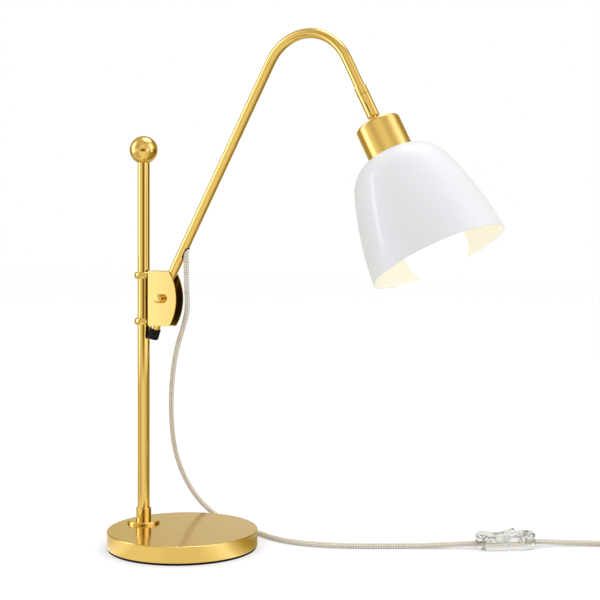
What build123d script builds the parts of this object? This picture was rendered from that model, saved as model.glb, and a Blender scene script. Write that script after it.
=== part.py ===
"""Brass table lamp: the arm rides up and down an upright rod, swings round it and is held by its own weight.

Millimetres. The origin is the centre of the base's underside, +Z is up, and +X runs from the rod to the shade.
Along the head, sizes run from the seam of its swivel, down the axis of the arm's end.
"""

import os
from math import asin, atan2, cos, degrees, pi, radians, sin, sqrt, tan

from build123d import *

os.makedirs("parts", exist_ok=True)

# Shared fits
overrun = 1.0  # how far a cut runs past the face that it opens
thread_fit = 0.05  # radial gap of a screwed or pressed piece
running_fit = 0.05  # radial gap of a piece that turns or slides
rub_gap = 0.3  # gap between moving faces that must not rub
seat_gap = 0.05  # axial gap between faces that turn on each other

# Base
pad_inset = 1.0
pad_h = 2.5
cover_r = 78.75
cover_h = 16.6
cover_wall = 1.2
cover_edge_r = 1.1
weight_gap = 0.3
pocket_r = 12.0
pocket_h = 9.0

# Rod, with its collar below and its ball on top
rod_offset = 53.0
rod_r = 6.5
rod_bore_r = 5.0
rod_h = 390.0
collar_flange_r = 17.5
collar_flange_h = 2.8
collar_edge_r = 1.3
collar_sleeve_r = 8.2
collar_h = 16.0
collar_top_edge_r = 0.6
nipple_bore_r = 3.5
nipple_rise = 18.0
nut_across_flats = 14.0
nut_h = 4.0
washer_r = 10.5
washer_h = 1.2
nut_tail = 1.2
ball_r = 15.0
ball_rise = 9.2
stud_in_ball = 11.0
stud_in_rod = 16.0

# Guide rings with their liners
ring_low_inset = 3.8
ring_high_inset = 5.0
ring_r = 10.0
ring_h = 7.0
ring_shoulder_r = 8.4
liner_wall = 0.8
liner_h = 6.6
liner_rib_h = 2.0
liner_rib = 0.55
rivet_r = 2.2
rivet_shoulder_r = 3.6
rivet_root_r = 8.7
rivet_head_r = 3.4
rivet_head_h = 0.4

# Bracket
bracket_height = 260.0
bracket_h = 58.0
bracket_arc_r = 49.0
bracket_sheet = 1.1
bracket_back = 10.3
bracket_bend_r = 1.3
bracket_corner_r = 1.2

# Pin
pivot_reach = 28.4
pin_shank_r = 2.5
pin_head_r = 4.75
pin_head_h = 6.8
pin_dome_r = 2.2
pin_cap_r = 5.0
pin_cap_h = 3.5
pin_cap_edge_r = 1.5
pin_tail = 2.4

# Arm
tube_r = 5.0
tube_bore_r = 4.0
arm_rise_deg = 30.4
arm_fall_deg = 27.7
arm_rise_length = 347.64
arm_fall_length = 133.4
arch_bend_r = 51.0
tail_bend_r = 80.0
tail_lean_deg = 20.6
tail_above = 22.48
tail_below = 39.52
barrel_r = 3.4
foot_r = 6.1
foot_h = 11.4
foot_below = 6.4
foot_edge_r = 0.8

# Cord and its way out of the arm
cord_r = 2.75
exit_along = 34.24
exit_bend_r = 18.0
exit_drop = 10.5
bush_wall = 0.6
bush_extra = 0.8
bush_lip = 0.4
bush_lip_w = 0.5
bush_fit = 0.1

# Swivel at the arm's end
sleeve_r = 6.0
sleeve_h = 8.7
sleeve_web = 2.5
stud_head_h = 2.0
swivel_stud_r = 3.5
swivel_stud_bore_r = 3.0
swivel_stud_tail = 0.8
swivel_washer_r = 5.5
swivel_washer_h = 0.4
stud_nut_r = 4.6
stud_nut_h = 2.0
socket_bottom = 24.0
socket_wall_h = 2.3
socket_bore_r = 4.2
nut_room_r = 4.9
nut_room_h = 5.0
slit_w = 0.8
slit_h = 14.0
slit_count = 3
slit_turn_deg = -40.0

# Ball stem
joint_ball_r = 4.8
joint_ball_up = 2.8
joint_ball_fit = 0.08
neck_r = 2.4
wire_bore_r = 1.2
flange_r = 4.2
flange_h = 0.8
stem_tail = 7.0
nipple_h = 13.0

# Cup and shade
cup_top = 31.8
cup_r = 22.0
cup_wall = 1.0
cup_plate = 1.2
cup_edge_r = 3.0
rim_at = 174.2
rim_r = 66.0
rim_draft_deg = 4.0
side_arc_r = 322.0
side_arc_deg = 15.7
shoulder_r = 36.0
shade_wall = 1.0
shade_hole_r = 20.2

# Lampholder
holder_top = 38.0
holder_neck_r = 9.0
holder_neck_h = 6.0
holder_r = 19.0
holder_bottom = 110.0
holder_shoulder_r = 4.0
holder_wall = 3.0
holder_floor_at = 80.0
ring_nut_r = 23.0
ring_nut_h = 6.0
ring_nut_edge_r = 1.0
shell_wall = 0.5
shell_h = 24.0
contact_w = 6.0
contact_sheet = 0.6
contact_foot = 11.0

# Bulb
globe_r = 30.0
globe_inside_rim = 8.7
globe_wall = 1.0
bulb_neck_r = 12.5
bulb_neck_above = 52.0
bulb_shoulder_r = 40.0
bulb_cap_r = 13.2
bulb_cap_h = 25.0
bulb_tip_r = 5.0
bulb_tip_h = 1.6
bulb_cap_cone_h = 3.0

# Switch on the cord
switch_x = 284.3
switch_y = 184.1
switch_turn_deg = 40.0
switch_l = 63.0
switch_end_w = 28.0
switch_waist_w = 25.5
switch_end_at = 20.0
switch_base_h = 8.0
switch_cover_h = 5.6
switch_end_rise = 2.4
switch_wall = 1.6
switch_edge_r = 2.4
switch_foot_r = 1.2
switch_cord_z = 5.2
switch_grip = 6.0
rocker_l = 22.0
rocker_w = 9.4
rocker_end_h = 7.0
rocker_mid_h = 6.2
rocker_keel_h = 3.0
rocker_under_h = 1.0
rocker_pivot_z = 10.0
rocker_rest_deg = 13.0
rocker_gap = 0.4
rocker_end_gap = 1.7
axle_r = 1.2
axle_l = 1.8
post_l = 4.2
post_w = 2.0
post_over = 0.6
terminal_at = 10.8
terminal_l = 17.0
terminal_w = 7.0
terminal_h = 3.0
clamp_l = 5.0
clamp_h = 6.2
terminal_hole_r = 1.2
screw_at = 24.5
screw_side = 7.0
screw_r = 1.3
screw_head_r = 2.5
screw_head_h = 1.4
boss_r = 2.6

# Cord's route, from the arm to the table and along it: points chosen by hand
exit_to_floor_route = [
    (2.2, 6.6, 251.0),
    (-10.5, 15.5, 231.0),
    (-30.0, 26.5, 203.0),
    (-49.0, 41.5, 161.0),
    (-60.5, 56.0, 117.0),
    (-64.5, 68.0, 82.0),
    (-58.0, 78.0, 51.0),
    (-42.0, 85.5, 26.0),
    (-15.0, 89.0, 9.5),
    (15.0, 88.5, 3.3),
    (40.0, 83.5, 2.8),
]
first_hang = 23.0
floor_route = [
    (61.0, 75.0, 2.8),
    (85.0, 70.8, 2.8),
    (112.0, 73.6, 2.8),
    (141.0, 85.2, 2.8),
    (168.5, 101.3, 2.8),
    (193.7, 118.6, 2.8),
    (217.5, 134.5, 3.0),
    (237.5, 147.3, 4.2),
]
lead_route = [
    (327.0, 219.5, 4.1),
    (349.0, 234.0, 3.3),
    (371.5, 246.2, 3.2),
]
corner_share = 0.45

# Coil, tie and plug
coil_x = 422.0
coil_y = 229.0
coil_outer_r = 38.5
coil_pitch = 6.1
coil_turns = 5
coil_start_deg = 118.0
coil_end_deg = 0.0
coil_steps = 22
coil_run_out = 24.0
tie_sheet = 0.8
tie_w = 8.0
tie_gap = 0.5
tie_turn_deg = 250.0
tie_corner_r = 3.0
relief_l = 22.0
relief_r = 4.4
relief_tip_r = 3.3
plug_l = 34.0
plug_w = 27.0
plug_tail_w = 15.0
plug_tail_l = 12.0
plug_edge_r = 3.0
plug_pin_r = 2.0
plug_pin_l = 19.0
plug_pin_spacing = 19.0

# Places that follow from the sizes above
rod_x = -rod_offset
cover_top = pad_h + cover_h
rod_top = cover_top + rod_h
ball_z = rod_top + ball_rise
rod_axis = Axis((rod_x, 0, 0), (0, 0, 1))
rod_section = Plane(origin=(rod_x, 0, 0), x_dir=(1, 0, 0), z_dir=(0, -1, 0))
bracket_low = bracket_height - bracket_h / 2
bracket_high = bracket_height + bracket_h / 2
ring_low_z = bracket_low + ring_low_inset
ring_high_z = bracket_high - ring_high_inset
gap_half = tube_r + rub_gap
cheek_out = gap_half + bracket_sheet
pivot_x = rod_x + pivot_reach
pivot_section = Plane(origin=(pivot_x, 0, bracket_height), x_dir=(1, 0, 0), z_dir=(0, -1, 0))

rise = radians(arm_rise_deg)
fall = radians(arm_fall_deg)
lean = radians(tail_lean_deg)
rise_dir = Vector(sin(rise), 0, cos(rise))
under_dir = Vector(cos(rise), 0, -sin(rise))
pivot = Vector(pivot_x, 0, bracket_height)
tail_dir = Vector(sin(lean), 0, cos(lean))
tail_corner = pivot + tail_dir * tail_above
foot_middle = pivot - tail_dir * tail_below
arch_corner = tail_corner + rise_dir * arm_rise_length
head_dir = Vector(sin(fall), 0, -cos(fall))
head_out = Vector(cos(fall), 0, sin(fall))
seam = arch_corner + head_dir * arm_fall_length
head_section = Plane(origin=seam, x_dir=head_out, z_dir=(0, 1, 0))
head_axis = Axis(seam, head_dir)
stud_head_top = -sleeve_web - stud_head_h
tube_end = seam + head_dir * stud_head_top

exit_on_axis = tail_corner + rise_dir * exit_along
exit_x = exit_on_axis.X + under_dir.X * tube_r
exit_corner = tail_corner + rise_dir * ((exit_x - tail_corner.X) / sin(rise))
exit_end = Vector(exit_x, 0, exit_on_axis.Z - exit_drop)
bush_r = cord_r + bush_wall
bush_l = 2 * bush_r / sin(rise) + bush_extra
exit_plane = Plane(origin=exit_on_axis, x_dir=rise_dir, z_dir=under_dir)


def xz(point):
    """A point of the lamp's middle plane as sketch coordinates."""
    return (point.X, point.Z)


# Base
with BuildPart() as base_pad:
    with BuildSketch():
        Circle(cover_r - pad_inset)
    extrude(amount=pad_h)

with BuildPart() as base_cover:
    with BuildSketch(Plane.XY.offset(pad_h)):
        Circle(cover_r)
    extrude(amount=cover_h)
    fillet(base_cover.edges().group_by(Axis.Z)[-1], radius=cover_edge_r)
    with BuildSketch(Plane.XY.offset(pad_h)):
        Circle(cover_r - cover_wall)
    extrude(amount=cover_h - cover_wall, mode=Mode.SUBTRACT)
    with BuildSketch(Plane.XY.offset(pad_h)):
        with Locations((rod_x, 0)):
            Circle(rod_bore_r)
    extrude(amount=cover_h + overrun, mode=Mode.SUBTRACT)

with BuildPart() as base_weight:
    with BuildSketch(Plane.XY.offset(pad_h)):
        Circle(cover_r - cover_wall - weight_gap)
        with Locations((rod_x, 0)):
            Circle(rod_bore_r, mode=Mode.SUBTRACT)
    extrude(amount=cover_h - cover_wall)
    with BuildSketch(Plane.XY.offset(pad_h)):
        with Locations((rod_x, 0)):
            Circle(pocket_r)
    extrude(amount=pocket_h, mode=Mode.SUBTRACT)

# Rod and what clamps it
nipple_r = rod_bore_r - thread_fit
washer_low = pad_h + pocket_h - washer_h
nut_low = washer_low - nut_h

with BuildPart() as rod_washer:
    with BuildSketch(Plane.XY.offset(washer_low)):
        with Locations((rod_x, 0)):
            Circle(washer_r)
            Circle(rod_bore_r, mode=Mode.SUBTRACT)
    extrude(amount=washer_h)

with BuildPart() as rod_nut:
    with BuildSketch(Plane.XY.offset(nut_low)):
        with Locations((rod_x, 0)):
            RegularPolygon(nut_across_flats / 2, side_count=6, major_radius=False)
            Circle(rod_bore_r, mode=Mode.SUBTRACT)
    extrude(amount=nut_h)

with BuildPart() as rod_nipple:
    with BuildSketch(Plane.XY.offset(nut_low - nut_tail)):
        with Locations((rod_x, 0)):
            Circle(nipple_r)
            Circle(nipple_bore_r, mode=Mode.SUBTRACT)
    extrude(amount=cover_top + nipple_rise - nut_low + nut_tail)

with BuildPart() as rod_collar:
    with BuildSketch(Plane.XY.offset(cover_top)):
        with Locations((rod_x, 0)):
            Circle(collar_flange_r)
    extrude(amount=collar_flange_h)
    fillet(rod_collar.edges().group_by(Axis.Z)[-1], radius=collar_edge_r)
    with BuildSketch(Plane.XY.offset(cover_top)):
        with Locations((rod_x, 0)):
            Circle(collar_sleeve_r)
    extrude(amount=collar_h)
    fillet(rod_collar.edges().group_by(Axis.Z)[-1], radius=collar_top_edge_r)
    with BuildSketch(Plane.XY.offset(cover_top)):
        with Locations((rod_x, 0)):
            Circle(rod_r + thread_fit)
    extrude(amount=collar_h + overrun, mode=Mode.SUBTRACT)

with BuildPart() as rod:
    with BuildSketch(Plane.XY.offset(cover_top)):
        with Locations((rod_x, 0)):
            Circle(rod_r)
            Circle(rod_bore_r, mode=Mode.SUBTRACT)
    extrude(amount=rod_h)

with BuildPart() as finial_stud:
    with BuildSketch(Plane.XY.offset(rod_top - stud_in_rod)):
        with Locations((rod_x, 0)):
            Circle(nipple_r)
    extrude(amount=stud_in_rod + stud_in_ball)

with BuildPart() as ball_finial:
    with Locations((rod_x, 0, ball_z)):
        Sphere(ball_r)
    with BuildSketch(Plane.XY.offset(rod_top)):
        with Locations((rod_x, 0)):
            Circle(rod_r + thread_fit)
    extrude(amount=-ball_r, mode=Mode.SUBTRACT)
    with BuildSketch(Plane.XY.offset(rod_top)):
        with Locations((rod_x, 0)):
            Circle(rod_bore_r)
    extrude(amount=stud_in_ball, mode=Mode.SUBTRACT)

# Liners and guide rings
liner_in = rod_r + running_fit
liner_out = liner_in + liner_wall
ring_bore_r = liner_out + running_fit
rib_out = liner_out + liner_rib
groove_r = rib_out + running_fit
groove_half = liner_rib_h / 2 + seat_gap
back_x = rod_x + bracket_back
web_x = back_x + bracket_sheet

with BuildPart() as ring_liners:
    with BuildSketch(rod_section):
        for z in (ring_low_z, ring_high_z):
            with BuildLine():
                Polyline(
                    (liner_in, z - liner_h / 2),
                    (liner_out, z - liner_h / 2),
                    (liner_out, z - liner_rib_h / 2),
                    (rib_out, z - liner_rib_h / 2),
                    (rib_out, z + liner_rib_h / 2),
                    (liner_out, z + liner_rib_h / 2),
                    (liner_out, z + liner_h / 2),
                    (liner_in, z + liner_h / 2),
                    close=True,
                )
            make_face()
    revolve(axis=rod_axis)


def guide_ring(z):
    """Bulged ring round the liner, with the shouldered rivet that holds it to the bracket's back."""
    with BuildPart() as ring:
        with BuildSketch(rod_section):
            with BuildLine():
                Polyline(
                    (ring_shoulder_r, z + ring_h / 2),
                    (ring_bore_r, z + ring_h / 2),
                    (ring_bore_r, z + groove_half),
                    (groove_r, z + groove_half),
                    (groove_r, z - groove_half),
                    (ring_bore_r, z - groove_half),
                    (ring_bore_r, z - ring_h / 2),
                    (ring_shoulder_r, z - ring_h / 2),
                )
                ThreePointArc((ring_shoulder_r, z - ring_h / 2), (ring_r, z), (ring_shoulder_r, z + ring_h / 2))
            make_face()
        revolve(axis=rod_axis)
        root = Plane(origin=(rod_x + rivet_root_r, 0, z), x_dir=(0, 1, 0), z_dir=(1, 0, 0))
        with BuildSketch(root):
            Circle(rivet_shoulder_r)
        extrude(amount=bracket_back - rivet_root_r)
        with BuildSketch(root):
            Circle(rivet_r)
        extrude(amount=bracket_back + bracket_sheet - rivet_root_r)
        with BuildSketch(Plane(origin=(web_x, 0, z), x_dir=(0, 1, 0), z_dir=(1, 0, 0))):
            Circle(rivet_head_r)
        extrude(amount=rivet_head_h)
    return ring


upper_ring = guide_ring(ring_high_z)
lower_ring = guide_ring(ring_low_z)

# Bracket, folded from sheet, with a front edge that is round about the rod
corner_reach = sqrt(bracket_arc_r**2 - (bracket_h / 2) ** 2)

with BuildPart() as bracket:
    with BuildSketch(rod_section):
        with BuildLine():
            Polyline(
                (corner_reach, bracket_high),
                (bracket_back, bracket_high),
                (bracket_back, bracket_low),
                (corner_reach, bracket_low),
            )
            ThreePointArc(
                (corner_reach, bracket_low), (bracket_arc_r, bracket_height), (corner_reach, bracket_high)
            )
        make_face()
    extrude(amount=cheek_out, both=True)
    fillet(bracket.faces().sort_by(Axis.X)[0].edges().filter_by(Axis.Z), radius=bracket_bend_r)
    with BuildSketch(Plane.XY.offset(bracket_low - overrun)):
        with Locations((web_x, 0)):
            Rectangle(bracket_arc_r, 2 * gap_half, align=(Align.MIN, Align.CENTER))
    extrude(amount=bracket_h + 2 * overrun, mode=Mode.SUBTRACT)
    front_corners = bracket.edges().filter_by(Axis.Y).group_by(Axis.X)[-1]
    fillet(front_corners, radius=bracket_corner_r)
    with BuildSketch(pivot_section):
        Circle(pin_shank_r + thread_fit)
    extrude(amount=cheek_out + overrun, both=True, mode=Mode.SUBTRACT)
    with BuildSketch(Plane(origin=(back_x, 0, 0), x_dir=(0, 1, 0), z_dir=(1, 0, 0))):
        for z in (ring_low_z, ring_high_z):
            with Locations((0, z)):
                Circle(rivet_r)
    extrude(amount=bracket_sheet, mode=Mode.SUBTRACT)

# Pin, with its domed head on the near cheek
pin_axis = Axis((pivot_x, 0, bracket_height), (0, 1, 0))
pin_section = Plane(origin=(pivot_x, 0, bracket_height), x_dir=(1, 0, 0), z_dir=(0, 0, 1))
head_face = -cheek_out
head_end = head_face - pin_head_h

with BuildPart() as pivot_pin:
    with BuildSketch(pin_section):
        with BuildLine():
            nose = Line((0, head_end), (pin_head_r - pin_dome_r, head_end))
            dome = JernArc(start=nose @ 1, tangent=nose % 1, radius=pin_dome_r, arc_size=90)
            Polyline(
                dome @ 1,
                (pin_head_r, head_face),
                (pin_shank_r, head_face),
                (pin_shank_r, cheek_out + pin_tail),
                (0, cheek_out + pin_tail),
                nose @ 0,
            )
        make_face()
    revolve(axis=pin_axis)

with BuildPart() as pin_cap:
    with BuildSketch(pin_section):
        with BuildLine():
            crown = Line((0, cheek_out + pin_cap_h), (pin_cap_r - pin_cap_edge_r, cheek_out + pin_cap_h))
            edge = JernArc(start=crown @ 1, tangent=crown % 1, radius=pin_cap_edge_r, arc_size=-90)
            Polyline(
                edge @ 1,
                (pin_cap_r, cheek_out),
                (pin_shank_r + thread_fit, cheek_out),
                (pin_shank_r + thread_fit, cheek_out + pin_tail),
                (0, cheek_out + pin_tail),
                crown @ 0,
            )
        make_face()
    revolve(axis=pin_axis)

# Arm
with BuildPart() as arm_tube:
    with BuildLine(Plane.XZ) as arm_path:
        FilletPolyline(
            xz(foot_middle), xz(tail_corner), xz(arch_corner), xz(tube_end), radius=[tail_bend_r, arch_bend_r]
        )
    with BuildSketch(Plane(origin=arm_path.line @ 0, z_dir=arm_path.line % 0)):
        Circle(tube_r)
        Circle(tube_bore_r, mode=Mode.SUBTRACT)
    sweep()
    with BuildSketch(exit_plane):
        SlotOverall(bush_l, 2 * bush_r)
    extrude(amount=tube_r + overrun, mode=Mode.SUBTRACT)
    with BuildSketch(pivot_section):
        Circle(barrel_r + thread_fit)
    extrude(amount=tube_r + overrun, both=True, mode=Mode.SUBTRACT)

with BuildPart() as arm_core:
    with BuildLine(Plane.XZ) as core_path:
        FilletPolyline(
            xz(foot_middle), xz(tail_corner), xz(arch_corner), xz(tube_end), radius=[tail_bend_r, arch_bend_r]
        )
    with BuildSketch(Plane(origin=core_path.line @ 0, z_dir=core_path.line % 0)):
        Circle(tube_r)
    sweep()

with BuildPart() as pivot_barrel:
    with BuildSketch(pivot_section):
        Circle(barrel_r)
        Circle(pin_shank_r + running_fit, mode=Mode.SUBTRACT)
    extrude(amount=tube_r, both=True)

foot_low = foot_middle - tail_dir * foot_below
with BuildPart() as arm_foot:
    with BuildSketch(Plane(origin=foot_low, x_dir=(0, 1, 0), z_dir=tail_dir)):
        Circle(foot_r)
    extrude(amount=foot_h)
    fillet(arm_foot.edges(), radius=foot_edge_r)
    with BuildSketch(Plane(origin=foot_middle, x_dir=(0, 1, 0), z_dir=tail_dir)):
        Circle(tube_r)
    extrude(amount=foot_h, mode=Mode.SUBTRACT)
    with BuildSketch(Plane.XY.offset(foot_low.Z - foot_r)):
        with Locations((rod_x, 0)):
            Circle(rod_r + rub_gap)
    extrude(amount=foot_h + 2 * foot_r, mode=Mode.SUBTRACT)

# Cord inside the arm, and the bush in the slot that it leaves by
with BuildPart() as inner_cord:
    with BuildLine(Plane.XZ) as inner_path:
        FilletPolyline(
            xz(exit_end), xz(exit_corner), xz(arch_corner), xz(seam), radius=[exit_bend_r, arch_bend_r]
        )
    with BuildSketch(Plane(origin=inner_path.line @ 0, z_dir=inner_path.line % 0)):
        Circle(cord_r)
    sweep()

with BuildPart() as cord_room:
    with BuildLine(Plane.XZ) as room_path:
        FilletPolyline(
            xz(exit_end - Vector(0, 0, exit_drop)), xz(exit_corner), xz(arch_corner), radius=[exit_bend_r]
        )
    with BuildSketch(Plane(origin=room_path.line @ 0, z_dir=room_path.line % 0)):
        Circle(cord_r + bush_fit)
    sweep()

with BuildPart() as cord_bushing:
    with BuildSketch(exit_plane):
        SlotOverall(bush_l + 2 * bush_lip_w, 2 * (bush_r + bush_lip_w))
    extrude(amount=tube_r + bush_lip)
    with BuildSketch(Plane(origin=exit_on_axis - rise_dir * bush_l, x_dir=(0, 1, 0), z_dir=rise_dir)):
        Circle(tube_r + bush_lip)
    extrude(amount=2 * bush_l, mode=Mode.INTERSECT)
    add(arm_core.part, mode=Mode.SUBTRACT)
    with BuildSketch(exit_plane):
        SlotOverall(bush_l, 2 * bush_r)
    extrude(amount=tube_r)
    with BuildSketch(Plane(origin=exit_on_axis - rise_dir * bush_l, x_dir=(0, 1, 0), z_dir=rise_dir)):
        Circle(tube_bore_r)
    extrude(amount=2 * bush_l, mode=Mode.SUBTRACT)
    with BuildSketch(Plane(origin=exit_on_axis - rise_dir * bush_l, x_dir=(0, 1, 0), z_dir=rise_dir)):
        Circle(tube_r + bush_lip)
    extrude(amount=2 * bush_l, mode=Mode.INTERSECT)
    add(cord_room.part, mode=Mode.SUBTRACT)


def turned(points):
    """Solid of revolution about the head's axis, from (radius, distance below the seam) points."""
    with BuildPart() as piece:
        with BuildSketch(head_section):
            with BuildLine():
                Polyline(*points, close=True)
            make_face()
        revolve(axis=head_axis)
    return piece


# Swivel at the arm's end
socket_top = swivel_washer_h + seat_gap
socket_wall_low = socket_top + socket_wall_h
stud_nut_top = socket_wall_low + seat_gap
stud_low = stud_nut_top + stud_nut_h + swivel_stud_tail
stud_hole_r = swivel_stud_r + running_fit

end_sleeve = turned(
    [
        (tube_r + thread_fit, -sleeve_h),
        (sleeve_r, -sleeve_h),
        (sleeve_r, 0),
        (stud_hole_r, 0),
        (stud_hole_r, -sleeve_web),
        (tube_r + thread_fit, -sleeve_web),
    ]
)
swivel_stud = turned(
    [
        (swivel_stud_bore_r, stud_head_top),
        (tube_r, stud_head_top),
        (tube_r, -sleeve_web),
        (swivel_stud_r, -sleeve_web),
        (swivel_stud_r, stud_low),
        (swivel_stud_bore_r, stud_low),
    ]
)
friction_washer = turned(
    [(stud_hole_r, 0), (swivel_washer_r, 0), (swivel_washer_r, swivel_washer_h), (stud_hole_r, swivel_washer_h)]
)
stud_nut = turned(
    [
        (swivel_stud_r + thread_fit, stud_nut_top),
        (stud_nut_r, stud_nut_top),
        (stud_nut_r, stud_nut_top + stud_nut_h),
        (swivel_stud_r + thread_fit, stud_nut_top + stud_nut_h),
    ]
)

joint_ball_at = socket_bottom - joint_ball_up
joint_ball_centre = seam + head_dir * joint_ball_at

with BuildPart() as swivel_socket:
    with BuildSketch(head_section):
        with BuildLine():
            Polyline(
                (stud_hole_r, socket_top),
                (sleeve_r, socket_top),
                (sleeve_r, socket_bottom),
                (socket_bore_r, socket_bottom),
                (socket_bore_r, socket_wall_low + nut_room_h),
                (nut_room_r, socket_wall_low + nut_room_h),
                (nut_room_r, socket_wall_low),
                (stud_hole_r, socket_wall_low),
                close=True,
            )
        make_face()
    revolve(axis=head_axis)
    with Locations(joint_ball_centre):
        Sphere(joint_ball_r + joint_ball_fit, mode=Mode.SUBTRACT)
    slit_plane = Plane(
        origin=seam + head_dir * (socket_bottom - slit_h), x_dir=head_out, z_dir=head_dir
    )
    with BuildSketch(slit_plane):
        with PolarLocations(0, slit_count, start_angle=slit_turn_deg):
            Rectangle(sleeve_r + overrun, slit_w, align=(Align.MIN, Align.CENTER))
    extrude(amount=slit_h + overrun, mode=Mode.SUBTRACT)

# Ball stem and the nipple below it
ball_top = joint_ball_at - sqrt(joint_ball_r**2 - wire_bore_r**2)
ball_low = joint_ball_at + sqrt(joint_ball_r**2 - neck_r**2)
plate_low = cup_top + cup_plate
stem_low = plate_low + stem_tail
nipple_low = plate_low + nipple_h
nipple_out_r = rod_bore_r - thread_fit

with BuildPart() as ball_stem:
    with BuildSketch(head_section):
        with BuildLine():
            ThreePointArc((wire_bore_r, ball_top), (joint_ball_r, joint_ball_at), (neck_r, ball_low))
            Polyline(
                (neck_r, ball_low),
                (neck_r, cup_top - flange_h),
                (flange_r, cup_top - flange_h),
                (flange_r, cup_top),
                (neck_r, cup_top),
                (neck_r, stem_low),
                (wire_bore_r, stem_low),
                (wire_bore_r, ball_top),
            )
        make_face()
    revolve(axis=head_axis)

holder_nipple = turned(
    [
        (neck_r + thread_fit, plate_low),
        (nipple_out_r, plate_low),
        (nipple_out_r, nipple_low),
        (neck_r + thread_fit, nipple_low),
    ]
)

# Shade: two tangent arcs from the rim up to the hole that the lampholder passes through
draft = radians(rim_draft_deg)
shoulder_start = radians(rim_draft_deg + side_arc_deg)
side_top_r = rim_r - side_arc_r * (cos(draft) - cos(shoulder_start))
side_top_at = rim_at - side_arc_r * (sin(shoulder_start) - sin(draft))
shoulder_centre_r = side_top_r - shoulder_r * cos(shoulder_start)
shoulder_centre_at = side_top_at + shoulder_r * sin(shoulder_start)
hole_angle = degrees(asin(sqrt(1 - ((shade_hole_r - shoulder_centre_r) / shoulder_r) ** 2)))
shoulder_deg = hole_angle - degrees(shoulder_start)


def dome_at(radius, inset):
    """Distance below the seam of the shade's shoulder, inset by a wall's thickness, at a radius."""
    return shoulder_centre_at - sqrt((shoulder_r - inset) ** 2 - (radius - shoulder_centre_r) ** 2)


with BuildPart() as shade:
    with BuildSketch(head_section):
        with BuildLine():
            side = JernArc(
                start=(rim_r, rim_at),
                tangent=(-sin(draft), -cos(draft)),
                radius=side_arc_r,
                arc_size=-side_arc_deg,
            )
            shoulder = JernArc(
                start=side @ 1, tangent=side % 1, radius=shoulder_r, arc_size=-shoulder_deg
            )
            inner_shoulder = JernArc(
                start=(shoulder @ 1) + Vector(-cos(radians(hole_angle)), sin(radians(hole_angle))) * shade_wall,
                tangent=(sin(radians(hole_angle)), cos(radians(hole_angle))),
                radius=shoulder_r - shade_wall,
                arc_size=shoulder_deg,
            )
            inner_side = JernArc(
                start=inner_shoulder @ 1,
                tangent=inner_shoulder % 1,
                radius=side_arc_r - shade_wall,
                arc_size=side_arc_deg,
            )
            Line(shoulder @ 1, inner_shoulder @ 0)
            Line(inner_side @ 1, side @ 0)
        make_face()
    revolve(axis=head_axis)

# Cup, which stands on the shade's shoulder
cup_low = dome_at(cup_r - cup_wall, 0) - seat_gap
cup_in_r = cup_r - cup_wall
cup_in_edge_r = cup_edge_r - cup_wall

with BuildPart() as holder_cup:
    with BuildSketch(head_section):
        with BuildLine():
            plate = Line((neck_r + thread_fit, cup_top), (cup_r - cup_edge_r, cup_top))
            outer_edge = JernArc(start=plate @ 1, tangent=plate % 1, radius=cup_edge_r, arc_size=90)
            under = Line((neck_r + thread_fit, plate_low), (cup_in_r - cup_in_edge_r, plate_low))
            inner_edge = JernArc(start=under @ 1, tangent=under % 1, radius=cup_in_edge_r, arc_size=90)
            Polyline(outer_edge @ 1, (cup_r, cup_low), (cup_in_r, cup_low), inner_edge @ 1)
            Line(plate @ 0, under @ 0)
        make_face()
    revolve(axis=head_axis)

# Lampholder, with the ring that clamps the shade
with BuildPart() as lampholder:
    with BuildSketch(head_section):
        with BuildLine():
            neck_low = holder_top + holder_neck_h
            neck = Polyline(
                (rod_bore_r, neck_low + holder_wall),
                (rod_bore_r, holder_top),
                (holder_neck_r, holder_top),
                (holder_neck_r, neck_low),
                (holder_r - holder_shoulder_r, neck_low),
            )
            round_top = JernArc(start=neck @ 1, tangent=neck % 1, radius=holder_shoulder_r, arc_size=90)
            Polyline(
                round_top @ 1,
                (holder_r, holder_bottom),
                (holder_r - holder_wall, holder_bottom),
                (holder_r - holder_wall, holder_floor_at),
                (contact_foot, holder_floor_at),
                (contact_foot, holder_floor_at - holder_wall),
                (holder_r - holder_wall, holder_floor_at - holder_wall),
                (holder_r - holder_wall, neck_low + holder_wall),
                neck @ 0,
            )
        make_face()
    revolve(axis=head_axis)

ring_nut_top = dome_at(ring_nut_r, shade_wall) + seat_gap
shade_ring = turned(
    [
        (holder_r + thread_fit, ring_nut_top),
        (ring_nut_r, ring_nut_top),
        (ring_nut_r, ring_nut_top + ring_nut_h - ring_nut_edge_r),
        (ring_nut_r - ring_nut_edge_r, ring_nut_top + ring_nut_h),
        (holder_r + thread_fit, ring_nut_top + ring_nut_h),
    ]
)

# Bulb and its contacts
globe_at = rim_at - globe_inside_rim
glass_top = globe_at - bulb_neck_above
cap_tip = glass_top - bulb_cap_h
shell_in_r = bulb_cap_r + rub_gap
shell_low = holder_bottom - shell_wall

screw_shell = turned(
    [
        (shell_in_r, shell_low - shell_h),
        (holder_r - holder_wall - thread_fit, shell_low - shell_h),
        (holder_r - holder_wall - thread_fit, shell_low - shell_h + shell_wall),
        (shell_in_r + shell_wall, shell_low - shell_h + shell_wall),
        (shell_in_r + shell_wall, shell_low),
        (shell_in_r, shell_low),
    ]
)
bulb_cap = turned(
    [
        (0, cap_tip),
        (bulb_tip_r, cap_tip),
        (bulb_tip_r, cap_tip + bulb_tip_h),
        (bulb_cap_r, cap_tip + bulb_tip_h + bulb_cap_cone_h),
        (bulb_cap_r, glass_top),
        (0, glass_top),
    ]
)

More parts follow.
